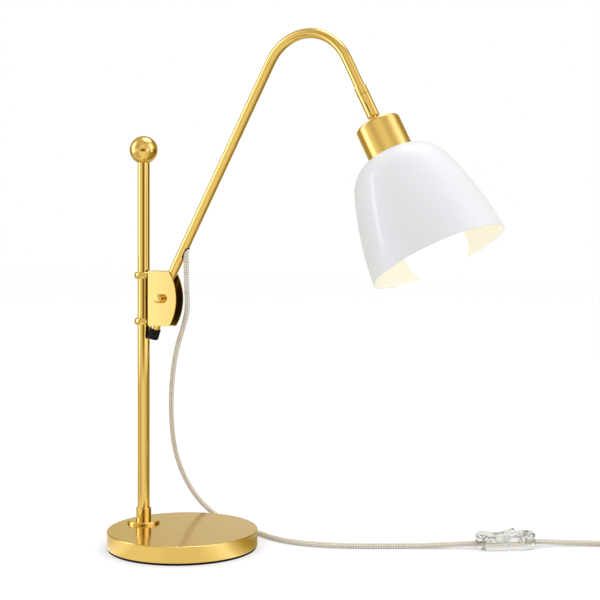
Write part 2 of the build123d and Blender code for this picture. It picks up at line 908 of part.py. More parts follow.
with BuildPart() as centre_contact:
    with BuildSketch(Plane(origin=seam + head_dir * holder_floor_at, x_dir=head_out, z_dir=head_dir)):
        Rectangle(2 * (contact_foot + holder_wall), contact_w)
    extrude(amount=contact_sheet)
    with BuildSketch(Plane(origin=seam + head_dir * holder_floor_at, x_dir=head_out, z_dir=head_dir)):
        Circle(bulb_tip_r - contact_sheet)
    extrude(amount=cap_tip - holder_floor_at)


def globe_arcs(inset):
    """Outline of the bulb's glass from its neck to its tip, inset by the wall's thickness."""
    neck_radius = bulb_neck_r - inset
    ball = globe_r - inset
    hollow = bulb_shoulder_r + inset
    centre_r = neck_radius + hollow
    drop = sqrt((hollow + ball) ** 2 - centre_r**2)
    centre_at = globe_at - drop
    touch_share = ball / (ball + hollow)
    touch = (centre_r * touch_share, globe_at - drop * touch_share)
    half = atan2(drop, centre_r) / 2
    middle = (centre_r - hollow * cos(half), centre_at + hollow * sin(half))
    globe_half = (pi / 2 + atan2(drop, centre_r)) / 2 - atan2(drop, centre_r)
    return {
        "neck": (neck_radius, centre_at),
        "middle": middle,
        "touch": touch,
        "belly": (ball * cos(globe_half), globe_at + ball * sin(globe_half)),
        "tip": (0, globe_at + ball),
    }


outside = globe_arcs(0)
inside = globe_arcs(globe_wall)
with BuildPart() as bulb_glass:
    with BuildSketch(head_section):
        with BuildLine():
            for skin in (outside, inside):
                Line((skin["neck"][0], glass_top), skin["neck"])
                ThreePointArc(skin["neck"], skin["middle"], skin["touch"])
                ThreePointArc(skin["touch"], skin["belly"], skin["tip"])
            Line(outside["tip"], inside["tip"])
            Line((outside["neck"][0], glass_top), (inside["neck"][0], glass_top))
        make_face()
    revolve(axis=head_axis)

# Switch on the cord
switch_plane = Plane(
    origin=(switch_x, switch_y, 0),
    x_dir=(cos(radians(switch_turn_deg)), sin(radians(switch_turn_deg)), 0),
    z_dir=(0, 0, 1),
)
switch_dir = switch_plane.x_dir
switch_mid_z = switch_base_h
switch_top_z = switch_base_h + switch_cover_h


def switch_outline(inset):
    """Waisted outline of the switch, inset by a wall's thickness."""
    with BuildLine() as outline:
        for side in (1, -1):
            ThreePointArc(
                (-switch_end_at, side * (switch_end_w / 2 - inset)),
                (0, side * (switch_waist_w / 2 - inset)),
                (switch_end_at, side * (switch_end_w / 2 - inset)),
            )
            ThreePointArc(
                (side * switch_end_at, switch_end_w / 2 - inset),
                (side * (switch_l / 2 - inset), 0),
                (side * switch_end_at, inset - switch_end_w / 2),
            )
    return outline.line


shell_outline = switch_outline(0)
room_outline = switch_outline(switch_wall)
entry_plane = Plane(
    origin=switch_plane.origin - switch_dir * switch_l + Vector(0, 0, switch_cord_z),
    x_dir=(0, 0, 1),
    z_dir=switch_dir,
)
screw_spots = [(screw_at, screw_side), (-screw_at, -screw_side)]
post_y = rocker_w / 2 + rocker_gap + post_w / 2

with BuildPart() as switch_base:
    with BuildSketch(switch_plane):
        add(shell_outline)
        make_face()
    extrude(amount=switch_base_h)
    fillet(switch_base.edges().group_by(Axis.Z)[0], radius=switch_foot_r)
    with BuildSketch(switch_plane.offset(switch_wall)):
        add(room_outline)
        make_face()
    extrude(amount=switch_base_h, mode=Mode.SUBTRACT)
    with BuildSketch(switch_plane.offset(switch_wall)):
        with Locations((0, post_y), (0, -post_y)):
            Rectangle(post_l, post_w)
    extrude(amount=rocker_pivot_z + axle_r + post_over - switch_wall)
    with BuildSketch(switch_plane.offset(switch_wall)):
        with Locations(*screw_spots):
            Circle(boss_r)
    extrude(amount=switch_base_h - switch_wall)
    with BuildSketch(switch_plane):
        with Locations(*screw_spots):
            Circle(screw_r + thread_fit)
    extrude(amount=switch_base_h, mode=Mode.SUBTRACT)
    with BuildSketch(switch_plane):
        with Locations(*screw_spots):
            Circle(screw_head_r)
    extrude(amount=screw_head_h, mode=Mode.SUBTRACT)
    with BuildSketch(entry_plane):
        Circle(cord_r + bush_fit)
    extrude(amount=2 * switch_l, mode=Mode.SUBTRACT)
    with BuildSketch(Plane(origin=switch_plane.origin + Vector(0, 0, rocker_pivot_z), x_dir=switch_dir,
                           z_dir=switch_plane.y_dir)):
        Circle(axle_r + running_fit)
    extrude(amount=switch_end_w / 2 - switch_wall, both=True, mode=Mode.SUBTRACT)

dish_plane = Plane(
    origin=switch_plane.origin + Vector(0, 0, switch_top_z),
    x_dir=switch_dir,
    z_dir=switch_plane.y_dir * -1,
)
with BuildPart() as switch_cover:
    with BuildSketch(switch_plane.offset(switch_mid_z)):
        add(shell_outline)
        make_face()
    extrude(amount=switch_cover_h + switch_end_rise)
    with BuildSketch(dish_plane):
        with BuildLine():
            ThreePointArc((-switch_l / 2, switch_end_rise), (0, 0), (switch_l / 2, switch_end_rise))
            Line((switch_l / 2, switch_end_rise), (-switch_l / 2, switch_end_rise))
        make_face()
    extrude(amount=switch_end_w, both=True, mode=Mode.SUBTRACT)
    top_edges = switch_cover.edges().filter_by(lambda edge: edge.bounding_box().min.Z > switch_mid_z)
    fillet(top_edges, radius=switch_edge_r)
    with BuildSketch(switch_plane.offset(switch_mid_z)):
        add(room_outline)
        make_face()
    extrude(amount=switch_cover_h - switch_wall, mode=Mode.SUBTRACT)
    with BuildSketch(switch_plane.offset(switch_mid_z)):
        with Locations(*screw_spots):
            Circle(boss_r)
            Circle(screw_r + thread_fit, mode=Mode.SUBTRACT)
    extrude(amount=switch_cover_h - switch_wall)
    with BuildSketch(switch_plane.offset(switch_mid_z)):
        Rectangle(rocker_l + 2 * rocker_end_gap, rocker_w + 2 * rocker_gap)
    extrude(amount=switch_cover_h + switch_end_rise, mode=Mode.SUBTRACT)
    with BuildSketch(entry_plane):
        Circle(cord_r + bush_fit)
    extrude(amount=2 * switch_l, mode=Mode.SUBTRACT)

rocker_rest = radians(rocker_rest_deg)
rocker_plane = Plane(
    origin=switch_plane.origin + Vector(0, 0, rocker_pivot_z),
    x_dir=switch_dir * cos(rocker_rest) + Vector(0, 0, sin(rocker_rest)),
    z_dir=switch_plane.y_dir * -1,
)
with BuildPart() as switch_rocker:
    with BuildSketch(rocker_plane):
        with BuildLine():
            Polyline(
                (-rocker_l / 2, rocker_end_h),
                (0, rocker_mid_h),
                (rocker_l / 2, rocker_end_h),
                (rocker_l / 2, -rocker_under_h),
                (0, -rocker_keel_h),
                (-rocker_l / 2, -rocker_under_h),
                close=True,
            )
        make_face()
    extrude(amount=rocker_w / 2, both=True)
    with BuildSketch(rocker_plane):
        Circle(axle_r)
    extrude(amount=rocker_w / 2 + axle_l, both=True)

with BuildPart() as switch_terminals:
    with BuildSketch(switch_plane.offset(switch_wall)):
        with Locations((terminal_at, 0), (-terminal_at, 0)):
            Rectangle(terminal_l, terminal_w)
    extrude(amount=terminal_h)
    clamp_at = terminal_at + (terminal_l - clamp_l) / 2
    with BuildSketch(switch_plane.offset(switch_wall)):
        with Locations((clamp_at, 0), (-clamp_at, 0)):
            Rectangle(clamp_l, terminal_w)
    extrude(amount=clamp_h)
    with BuildSketch(switch_plane.offset(switch_wall)):
        with Locations((clamp_at, 0), (-clamp_at, 0)):
            Circle(terminal_hole_r)
    extrude(amount=clamp_h, mode=Mode.SUBTRACT)

with BuildPart() as switch_screws:
    with BuildSketch(switch_plane):
        with Locations(*screw_spots):
            Circle(screw_head_r - thread_fit)
    extrude(amount=screw_head_h)
    with BuildSketch(switch_plane):
        with Locations(*screw_spots):
            Circle(screw_r)
    extrude(amount=switch_top_z - switch_wall)


def tube_along(points):
    """Round cord along straight runs, each corner rounded as widely as its shorter run allows."""
    radii = []
    for before, corner, after in zip(points, points[1:], points[2:]):
        shorter = min((corner - before).length, (after - corner).length)
        turn = radians((corner - before).get_angle(after - corner))
        radii.append(corner_share * shorter / tan(turn / 2))
    with BuildPart() as tube:
        with BuildLine() as path:
            FilletPolyline(*points, radius=radii)
        with BuildSketch(Plane(origin=path.line @ 0, z_dir=path.line % 0)):
            Circle(cord_r)
        sweep()
    length = path.wire().length
    print("cord of", round(length, 1), "mm, radii", [round(r) for r in radii])
    print("  volume over section times length", round(tube.part.volume / (pi * cord_r**2 * length), 4))
    return tube


def between(a, b):
    """Point halfway between two points."""
    return (a + b) * (1 / 2)


# Cord from the arm to the switch, in a hanging stretch and one on the table
hang_points = [exit_end, exit_end - Vector(0, 0, first_hang)] + [Vector(*p) for p in exit_to_floor_route]
floor_points = [Vector(*p) for p in floor_route]
landing = between(hang_points[-1], floor_points[0])
switch_in = switch_plane.origin - switch_dir * (switch_l / 2 - switch_grip) + Vector(0, 0, switch_cord_z)
switch_near = switch_in - switch_dir * (2 * switch_grip)
cord_drop = tube_along(hang_points + [landing])
cord_floor = tube_along([landing] + floor_points + [switch_near, switch_in])

# Coil: spirals in on the table, climbs a layer in the half turn where it reverses, and spirals out again
coil_turned = radians(coil_start_deg - coil_end_deg) + 2 * pi * coil_turns
coil_low_z = tie_sheet + tie_gap / 2 + cord_r
coil_inner_r = coil_outer_r - coil_pitch * coil_turned / (4 * pi)


def coil_point(turned_by):
    """Point of the coil's middle line after a turn, in radians, from its start."""
    spun = min(turned_by, coil_turned - turned_by)
    radius = coil_outer_r - coil_pitch * spun / (2 * pi)
    climb = min(max((turned_by - coil_turned / 2 + pi / 2) / pi, 0), 1)
    angle = radians(coil_start_deg) - turned_by
    height = coil_low_z + coil_pitch * climb**2 * (3 - 2 * climb)
    return Vector(coil_x + radius * cos(angle), coil_y + radius * sin(angle), height)


def coil_tangent(turned_by):
    """Direction of the coil's middle line, from points on both sides."""
    nudge = coil_turned / coil_steps / 100
    return (coil_point(turned_by + nudge) - coil_point(turned_by - nudge)).normalized()


coil_marks = [coil_turned * i / coil_steps for i in range(coil_steps + 1)]
coil_nodes = [(coil_point(mark), coil_tangent(mark)) for mark in coil_marks]
coil_nodes[0] = (coil_point(0), (coil_point(coil_marks[1] / 100) - coil_point(0)).normalized())
last_step = coil_turned - coil_marks[1] / 100
coil_nodes[-1] = (coil_point(coil_turned), (coil_point(coil_turned) - coil_point(last_step)).normalized())
coil_in = coil_nodes[0][0] - coil_nodes[0][1] * (2 * cord_r)
coil_out = coil_nodes[-1][0] + coil_nodes[-1][1] * coil_run_out

with BuildPart() as cord_coil:
    with BuildLine() as coil_path:
        Line(coil_in, coil_nodes[0][0])
        for (p, p_dir), (q, q_dir) in zip(coil_nodes, coil_nodes[1:]):
            chord = q - p
            both = p_dir + q_dir
            spread = 2 * (1 - p_dir.dot(q_dir))
            reach = (sqrt(chord.dot(both) ** 2 + spread * chord.dot(chord)) - chord.dot(both)) / spread
            p_reach = p + p_dir * reach
            q_reach = q - q_dir * reach
            joint = between(p_reach, q_reach)
            TangentArc(p, joint, tangent=p_dir)
            TangentArc(joint, q, tangent=q_reach - p_reach)
        Line(coil_nodes[-1][0], coil_out)
    with BuildSketch(Plane(origin=coil_path.line @ 0, z_dir=coil_path.line % 0)):
        Circle(cord_r)
    sweep()

samples = [coil_path.wire() @ (i / 1500) for i in range(1501)]
apart = int(1500 * 12 * cord_r / coil_path.wire().length)
self_gap = min(
    (samples[i] - samples[j]).length for i in range(0, 1501, 3) for j in range(i + apart, 1501)
) - 2 * cord_r
print("coil of", round(coil_path.wire().length, 1), "mm, least gap to itself", round(self_gap, 2))

# Cord from the switch to the coil
switch_out = switch_plane.origin + switch_dir * (switch_l / 2 - switch_grip) + Vector(0, 0, switch_cord_z)
switch_past = switch_out + switch_dir * (2 * switch_grip)
lead_points = [Vector(*p) for p in lead_route]
coil_near = coil_in - coil_nodes[0][1] * (4 * cord_r)
cord_lead = tube_along([switch_out, switch_past] + lead_points + [coil_near, coil_in])

# Tie round the coil's turns
tie_dir = Vector(cos(radians(tie_turn_deg)), sin(radians(tie_turn_deg)), 0)
tie_half_r = (coil_outer_r - coil_inner_r) / 2 + cord_r + tie_gap
tie_half_h = coil_pitch / 2 + cord_r + tie_gap / 2
tie_plane = Plane(
    origin=Vector(coil_x, coil_y, coil_low_z + coil_pitch / 2) + tie_dir * ((coil_outer_r + coil_inner_r) / 2),
    x_dir=tie_dir,
    z_dir=tie_dir.cross(Vector(0, 0, 1)),
)
with BuildPart() as coil_tie:
    with BuildSketch(tie_plane):
        RectangleRounded(2 * (tie_half_r + tie_sheet), 2 * (tie_half_h + tie_sheet), tie_corner_r + tie_sheet)
        RectangleRounded(2 * tie_half_r, 2 * tie_half_h, tie_corner_r, mode=Mode.SUBTRACT)
    extrude(amount=tie_w / 2, both=True)

# Plug at the cord's end
plug_dir = coil_nodes[-1][1]
plug_axis_z = coil_low_z + coil_pitch
relief_plane = Plane(origin=coil_out, x_dir=plug_dir.cross(Vector(0, 0, 1)), z_dir=plug_dir)
plug_plane = relief_plane.offset(relief_l)

with BuildPart() as plug_relief:
    with BuildSketch(relief_plane):
        Circle(relief_tip_r)
    with BuildSketch(plug_plane):
        Circle(relief_r)
    loft()

with BuildPart() as plug_body:
    with BuildSketch(Plane(origin=plug_plane.origin - Vector(0, 0, plug_axis_z), x_dir=plug_dir, z_dir=(0, 0, 1))):
        with BuildLine():
            Polyline(
                (0, -plug_tail_w / 2),
                (plug_tail_l, -plug_w / 2),
                (plug_l, -plug_w / 2),
                (plug_l, plug_w / 2),
                (plug_tail_l, plug_w / 2),
                (0, plug_tail_w / 2),
                close=True,
            )
        make_face()
    extrude(amount=2 * plug_axis_z)
    fillet(plug_body.edges().filter_by(Axis.Z), radius=plug_edge_r)
    fillet(plug_body.edges().group_by(Axis.Z)[-1], radius=plug_edge_r)
    fillet(plug_body.edges().group_by(Axis.Z)[0], radius=plug_edge_r)

with BuildPart() as plug_pins:
    with BuildSketch(plug_plane.offset(plug_l)):
        with Locations((plug_pin_spacing / 2, 0), (-plug_pin_spacing / 2, 0)):
            Circle(plug_pin_r)
    extrude(amount=plug_pin_l)
    fillet(plug_pins.edges().group_by(Axis(coil_out, plug_dir))[-1], radius=plug_pin_r / 2)

pieces = {
    "base_pad": base_pad,
    "base_weight": base_weight,
    "base_cover": base_cover,
    "rod_washer": rod_washer,
    "rod_nut": rod_nut,
    "rod_nipple": rod_nipple,
    "rod_collar": rod_collar,
    "rod": rod,
    "finial_stud": finial_stud,
    "ball_finial": ball_finial,
    "ring_liners": ring_liners,
    "upper_ring": upper_ring,
    "lower_ring": lower_ring,
    "bracket": bracket,
    "pivot_pin": pivot_pin,
    "pin_cap": pin_cap,
    "arm_tube": arm_tube,
    "pivot_barrel": pivot_barrel,
    "arm_foot": arm_foot,
    "cord_bushing": cord_bushing,
    "inner_cord": inner_cord,
    "end_sleeve": end_sleeve,
    "swivel_stud": swivel_stud,
    "friction_washer": friction_washer,
    "stud_nut": stud_nut,
    "swivel_socket": swivel_socket,
    "ball_stem": ball_stem,
    "holder_nipple": holder_nipple,
    "holder_cup": holder_cup,
    "lampholder": lampholder,
    "shade_ring": shade_ring,
    "screw_shell": screw_shell,
    "centre_contact": centre_contact,
    "shade": shade,
    "bulb_cap": bulb_cap,
    "bulb_glass": bulb_glass,
    "cord_drop": cord_drop,
    "cord_floor": cord_floor,
    "switch_base": switch_base,
    "switch_cover": switch_cover,
    "switch_rocker": switch_rocker,
    "switch_terminals": switch_terminals,
    "switch_screws": switch_screws,
    "cord_lead": cord_lead,
    "cord_coil": cord_coil,
    "coil_tie": coil_tie,
    "plug_relief": plug_relief,
    "plug_body": plug_body,
    "plug_pins": plug_pins,
}
for name, piece in pieces.items():
    piece.part.label = name
    export_step(piece.part, f"parts/{name}.step")
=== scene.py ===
"""Looks of the brass table lamp: finishes, cord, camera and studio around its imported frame."""

import math

import bpy
import numpy as np
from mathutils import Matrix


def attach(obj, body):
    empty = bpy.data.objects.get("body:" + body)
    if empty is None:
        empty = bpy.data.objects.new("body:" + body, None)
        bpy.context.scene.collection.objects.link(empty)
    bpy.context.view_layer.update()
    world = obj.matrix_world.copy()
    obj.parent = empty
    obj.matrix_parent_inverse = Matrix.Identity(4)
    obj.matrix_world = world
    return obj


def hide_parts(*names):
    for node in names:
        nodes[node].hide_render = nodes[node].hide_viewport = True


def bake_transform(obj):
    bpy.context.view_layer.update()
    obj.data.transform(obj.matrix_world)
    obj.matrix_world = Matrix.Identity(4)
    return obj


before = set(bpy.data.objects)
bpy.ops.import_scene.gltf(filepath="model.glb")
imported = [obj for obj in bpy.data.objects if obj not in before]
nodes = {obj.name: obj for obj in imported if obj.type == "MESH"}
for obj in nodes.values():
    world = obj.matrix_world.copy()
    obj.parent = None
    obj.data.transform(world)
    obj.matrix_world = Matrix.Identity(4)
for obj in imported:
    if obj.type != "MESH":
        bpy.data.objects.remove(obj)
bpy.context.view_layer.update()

MM = 0.001

# Places shared with the solids, in millimetres
ROD_X = -53.0
PIVOT_FROM_ROD = 28.4
PIVOT_Z = 260.0
RISE = math.radians(30.4)
FALL = math.radians(27.7)
TAIL = math.radians(20.6)
TAIL_LENGTH = 22.48
RISE_LENGTH = 347.64
FALL_LENGTH = 133.4
ARM_R = 5.0
ARCH_BEND_R = 51.0
CORD_R = 2.75
EXIT_UP_ARM = 34.24
EXIT_DROP = 10.5
PIVOT = np.array([ROD_X + PIVOT_FROM_ROD, 0.0, PIVOT_Z])
RISE_DIR = np.array([math.sin(RISE), 0.0, math.cos(RISE)])
UNDER_DIR = np.array([math.cos(RISE), 0.0, -math.sin(RISE)])
HEAD_DIR = np.array([math.sin(FALL), 0.0, -math.cos(FALL)])
TAIL_CORNER = PIVOT + TAIL_LENGTH * np.array([math.sin(TAIL), 0.0, math.cos(TAIL)])
ARCH_CORNER = TAIL_CORNER + RISE_LENGTH * RISE_DIR
SEAM = ARCH_CORNER + FALL_LENGTH * HEAD_DIR
EXIT_ON_AXIS = TAIL_CORNER + EXIT_UP_ARM * RISE_DIR
EXIT_X = EXIT_ON_AXIS[0] + ARM_R * UNDER_DIR[0]
EXIT_CORNER = TAIL_CORNER + RISE_DIR * ((EXIT_X - TAIL_CORNER[0]) / math.sin(RISE))
EXIT_END = np.array([EXIT_X, 0.0, EXIT_ON_AXIS[2] - EXIT_DROP])
SWITCH = np.array([284.3, 184.1, 0.0])
SWITCH_TURN = math.radians(40.0)
SWITCH_DIR = np.array([math.cos(SWITCH_TURN), math.sin(SWITCH_TURN), 0.0])
SWITCH_CORD_Z = 5.2
SWITCH_HALF = 25.5
SWITCH_STRAIGHT = 12.0
BRACKET_HALF_GAP = 5.35


# Materials
def socket(group, name, kind, default=None, into=True):
    """Adds a named socket to a shader group."""
    made = group.interface.new_socket(name=name, in_out="INPUT" if into else "OUTPUT", socket_type=kind)
    if default is not None:
        made.default_value = default


def polish_marks_group():
    """Fine rubbing marks and slow cloudiness of worked metal.

    Height is stretched noise along one object axis; Cloud is slow noise between 0 and 1."""
    group = bpy.data.node_groups.new("polish_marks", "ShaderNodeTree")
    socket(group, "Fineness", "NodeSocketFloat", 900.0)
    socket(group, "Stretch", "NodeSocketVector", (1.0, 1.0, 0.04))
    socket(group, "Low", "NodeSocketFloat", 0.1)
    socket(group, "High", "NodeSocketFloat", 0.2)
    socket(group, "Roughness", "NodeSocketFloat", into=False)
    socket(group, "Cloud", "NodeSocketFloat", into=False)
    socket(group, "Height", "NodeSocketFloat", into=False)
    n, link = group.nodes, group.links.new
    given, out = n.new("NodeGroupInput"), n.new("NodeGroupOutput")
    coords = n.new("ShaderNodeTexCoord")
    stretch = n.new("ShaderNodeVectorMath")
    stretch.operation = "MULTIPLY"
    link(coords.outputs["Object"], stretch.inputs[0])
    link(given.outputs["Stretch"], stretch.inputs[1])
    fine = n.new("ShaderNodeTexNoise")
    fine.inputs["Detail"].default_value = 3.0
    link(stretch.outputs[0], fine.inputs["Vector"])
    link(given.outputs["Fineness"], fine.inputs["Scale"])
    slow = n.new("ShaderNodeTexNoise")
    slow.inputs["Scale"].default_value = 14.0
    slow.inputs["Detail"].default_value = 4.0
    link(coords.outputs["Object"], slow.inputs["Vector"])
    mixed = n.new("ShaderNodeMath")
    mixed.operation = "MULTIPLY"
    link(fine.outputs["Fac"], mixed.inputs[0])
    link(slow.outputs["Fac"], mixed.inputs[1])
    spread = n.new("ShaderNodeMapRange")
    spread.inputs["From Min"].default_value = 0.1
    spread.inputs["From Max"].default_value = 0.45
    link(mixed.outputs[0], spread.inputs["Value"])
    link(given.outputs["Low"], spread.inputs["To Min"])
    link(given.outputs["High"], spread.inputs["To Max"])
    link(spread.outputs["Result"], out.inputs["Roughness"])
    link(slow.outputs["Fac"], out.inputs["Cloud"])
    link(fine.outputs["Fac"], out.inputs["Height"])
    return group


def grain_group():
    """Fine pitted grain of rubber, moulded plastic and paint: Height and a slow Tone, both from noise."""
    group = bpy.data.node_groups.new("moulded_grain", "ShaderNodeTree")
    socket(group, "Fineness", "NodeSocketFloat", 1200.0)
    socket(group, "Height", "NodeSocketFloat", into=False)
    socket(group, "Tone", "NodeSocketFloat", into=False)
    n, link = group.nodes, group.links.new
    given, out = n.new("NodeGroupInput"), n.new("NodeGroupOutput")
    coords = n.new("ShaderNodeTexCoord")
    fine = n.new("ShaderNodeTexNoise")
    fine.inputs["Detail"].default_value = 2.0
    link(coords.outputs["Object"], fine.inputs["Vector"])
    link(given.outputs["Fineness"], fine.inputs["Scale"])
    slow = n.new("ShaderNodeTexNoise")
    slow.inputs["Scale"].default_value = 22.0
    link(coords.outputs["Object"], slow.inputs["Vector"])
    link(fine.outputs["Fac"], out.inputs["Height"])
    link(slow.outputs["Fac"], out.inputs["Tone"])
    return group


POLISH = polish_marks_group()
GRAIN = grain_group()
FINE_RELIEF = 0.0001


def new_material(name):
    """A node material with its Principled shader: (material, nodes, link, shader)."""
    made = bpy.data.materials.new(name)
    made.use_nodes = True
    tree = made.node_tree
    return made, tree.nodes, tree.links.new, tree.nodes["Principled BSDF"]


def two_tones(n, link, mask, dark, light, shader):
    """Base colour between two tones by a mask."""
    mix = n.new("ShaderNodeMix")
    mix.data_type = "RGBA"
    mix.inputs["A"].default_value = (*dark, 1.0)
    mix.inputs["B"].default_value = (*light, 1.0)
    link(mask, mix.inputs["Factor"])
    link(mix.outputs["Result"], shader.inputs["Base Color"])


def bumped(n, link, height, shader, strength, distance):
    """Bump from a height into the shader's normal."""
    bump = n.new("ShaderNodeBump")
    bump.inputs["Strength"].default_value = strength
    bump.inputs["Distance"].default_value = distance
    link(height, bump.inputs["Height"])
    link(bump.outputs["Normal"], shader.inputs["Normal"])


def worked_metal(name, dark, light, low, high, stretch, fineness=900.0, bump=0.02):
    """Metal with rubbing marks: roughness between low and high, tone between dark and light."""
    made, n, link, shader = new_material(name)
    shader.inputs["Metallic"].default_value = 1.0
    marks = n.new("ShaderNodeGroup")
    marks.node_tree = POLISH
    marks.inputs["Fineness"].default_value = fineness
    marks.inputs["Stretch"].default_value = stretch
    marks.inputs["Low"].default_value = low
    marks.inputs["High"].default_value = high
    link(marks.outputs["Roughness"], shader.inputs["Roughness"])
    two_tones(n, link, marks.outputs["Cloud"], dark, light, shader)
    bumped(n, link, marks.outputs["Height"], shader, bump, FINE_RELIEF)
    return made


def moulded(name, dark, light, roughness, fineness, bump, distance=FINE_RELIEF):
    """Rubber, plastic or paint with a fine grain."""
    made, n, link, shader = new_material(name)
    shader.inputs["Roughness"].default_value = roughness
    grain = n.new("ShaderNodeGroup")
    grain.node_tree = GRAIN
    grain.inputs["Fineness"].default_value = fineness
    two_tones(n, link, grain.outputs["Tone"], dark, light, shader)
    bumped(n, link, grain.outputs["Height"], shader, bump, distance)
    return made


BRASS_DARK = (0.72, 0.485, 0.132)
BRASS_LIGHT = (0.78, 0.535, 0.158)
# Painted shade for the faces between the bracket's cheeks, and their roughness
SHADED_INSIDE_BRASS = (0.22, 0.135, 0.016)
DULL_ROUGHNESS = 0.4
# Scale of the rubbing marks on each axis: they are long where it is small
LONG_IN_Z = (1.0, 1.0, 0.03)
DRAWN_IN_Z = (1.0, 1.0, 0.2)
DRAWN_IN_Y = (1.0, 0.3, 1.0)
EVEN = (1.0, 1.0, 1.0)


def brass(name, low, high, stretch, bump):
    """Brass with a roughness between low and high."""
    return worked_metal(name, BRASS_DARK, BRASS_LIGHT, low, high, stretch, bump=bump)


def grey(level):
    """A neutral tone."""
    return (level, level, level)


def adjust(finish, values):
    """Sets further inputs of a finish's shader."""
    shader = finish.node_tree.nodes["Principled BSDF"]
    for name, value in values.items():
        shader.inputs[name].default_value = value


def paint_shade_inside(finish, half_gap, tone, roughness):
    """Paints shade as a dark tone on a folded sheet's inner faces, which lie within half_gap of the plane y = 0,
    and makes them rougher.
    """
    n, link = finish.node_tree.nodes, finish.node_tree.links.new
    shader = n["Principled BSDF"]
    coords, parts = n.new("ShaderNodeTexCoord"), n.new("ShaderNodeSeparateXYZ")
    link(coords.outputs["Object"], parts.inputs[0])
    depth, inside = n.new("ShaderNodeMath"), n.new("ShaderNodeMath")
    depth.operation, inside.operation = "ABSOLUTE", "LESS_THAN"
    link(parts.outputs["Y"], depth.inputs[0])
    link(depth.outputs[0], inside.inputs[0])
    inside.inputs[1].default_value = half_gap
    for name, kind, type_name, value in (
        ("Base Color", "RGBA", "RGBA", (*tone, 1.0)),
        ("Roughness", "FLOAT", "VALUE", roughness),
    ):
        mix = n.new("ShaderNodeMix")
        mix.data_type = kind
        ends = [i for i in mix.inputs if i.name in "AB" and i.type == type_name]
        mixed = [o for o in mix.outputs if o.type == type_name][0]
        link(inside.outputs[0], mix.inputs["Factor"])
        link(shader.inputs[name].links[0].from_socket, ends[0])
        ends[1].default_value = value
        link(mixed, shader.inputs[name])


upright_brass = brass("upright_brass", 0.02, 0.045, LONG_IN_Z, 0.0012)
sheet_brass = brass("sheet_brass", 0.03, 0.06, DRAWN_IN_Y, 0.003)
satin_brass = brass("satin_brass", 0.13, 0.20, DRAWN_IN_Z, 0.006)
base_brass = brass("base_brass", 0.13, 0.17, EVEN, 0.0006)
# The bracket's inner faces get painted shade and a rougher finish
paint_shade_inside(sheet_brass, BRACKET_HALF_GAP * MM, SHADED_INSIDE_BRASS, DULL_ROUGHNESS)
plain_steel = worked_metal("plain_steel", grey(0.50), grey(0.62), 0.25, 0.4, DRAWN_IN_Z)
cast_iron = worked_metal("cast_iron", grey(0.10), grey(0.16), 0.5, 0.7, EVEN, fineness=400.0, bump=0.2)
tinned_brass = worked_metal("tinned_brass", (0.80, 0.75, 0.64), (0.86, 0.82, 0.72), 0.35, 0.5, EVEN)
bulb_metal = worked_metal("bulb_metal", grey(0.60), grey(0.72), 0.2, 0.35, EVEN)

black_rubber = moulded("black_rubber", (0.005, 0.005, 0.006), (0.010, 0.010, 0.011), 0.7, 1500.0, 0.15)
adjust(black_rubber, {"Specular IOR Level": 0.12})
slide_plastic = moulded("slide_plastic", grey(0.02), grey(0.03), 0.45, 1500.0, 0.05)
holder_plastic = moulded("holder_plastic", (0.78, 0.76, 0.70), (0.84, 0.82, 0.77), 0.4, 900.0, 0.05)
white_enamel = moulded("white_enamel", (0.795, 0.80, 0.825), (0.815, 0.82, 0.845), 0.5, 160.0, 0.03, 0.0002)
adjust(white_enamel, {"Specular IOR Level": 0.1, "Coat Weight": 0.4, "Coat Roughness": 0.08})
lit_glass = moulded("lit_glass", (1.0, 0.96, 0.86), (1.0, 0.98, 0.90), 0.3, 300.0, 0.02)
adjust(lit_glass, {"Emission Color": (1.0, 0.86, 0.42, 1.0), "Emission Strength": 1.52})
clear_plastic = moulded("clear_plastic", (0.93, 0.93, 0.91), (0.97, 0.97, 0.96), 0.06, 500.0, 0.03)
adjust(clear_plastic, {"Transmission Weight": 0.92, "IOR": 1.42})

# Tones of the braid; the dark end is also painted shade in the grooves between yarns
BRAID_DARK = (0.43, 0.365, 0.265)
BRAID_LIGHT = (0.90, 0.85, 0.755)
YARNS_ROUND = 4.0
YARN_PITCH = 5.2


